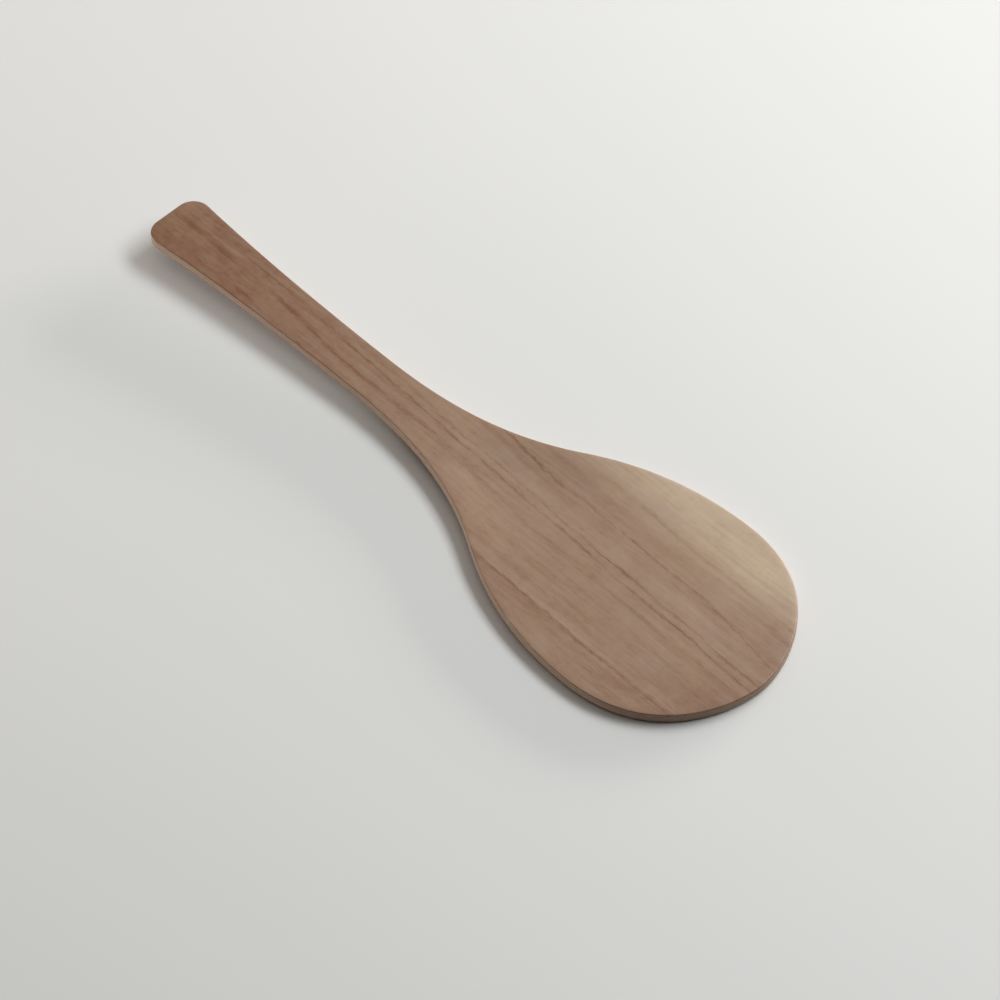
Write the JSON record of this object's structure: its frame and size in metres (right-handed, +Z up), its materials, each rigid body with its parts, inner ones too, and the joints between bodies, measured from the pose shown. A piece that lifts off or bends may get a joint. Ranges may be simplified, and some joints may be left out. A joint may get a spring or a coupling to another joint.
{
  "type": "risotto spoon",
  "caption": "Flat walnut risotto spoon pressed from veneers: slim handle with a squared end, narrow waist and a broad, almost flat egg-shaped blade.",
  "frame": {"origin": "on the surface the spoon rests on, under the middle of its length and width", "axes": "+X along the spoon from the handle's end to the nose of the blade, +Z up out of the blade's face, +Y to the left when looking along +X"},
  "size_m": [0.28, 0.0864, 0.01],
  "materials": {
    "face_walnut": "oiled satin walnut, grain along the handle",
    "crossband_walnut": "sanded walnut edge, grain across the handle",
    "core_walnut": "sanded walnut edge, grain along the handle",
    "back_walnut": "oiled satin walnut, grain along the handle"
  },
  "bodies": {
    "root": {"face_veneer": "face_walnut", "upper_crossband": "crossband_walnut", "core_veneer": "core_walnut", "lower_crossband": "crossband_walnut", "back_veneer": "back_walnut"}
  },
  "joints": []
}
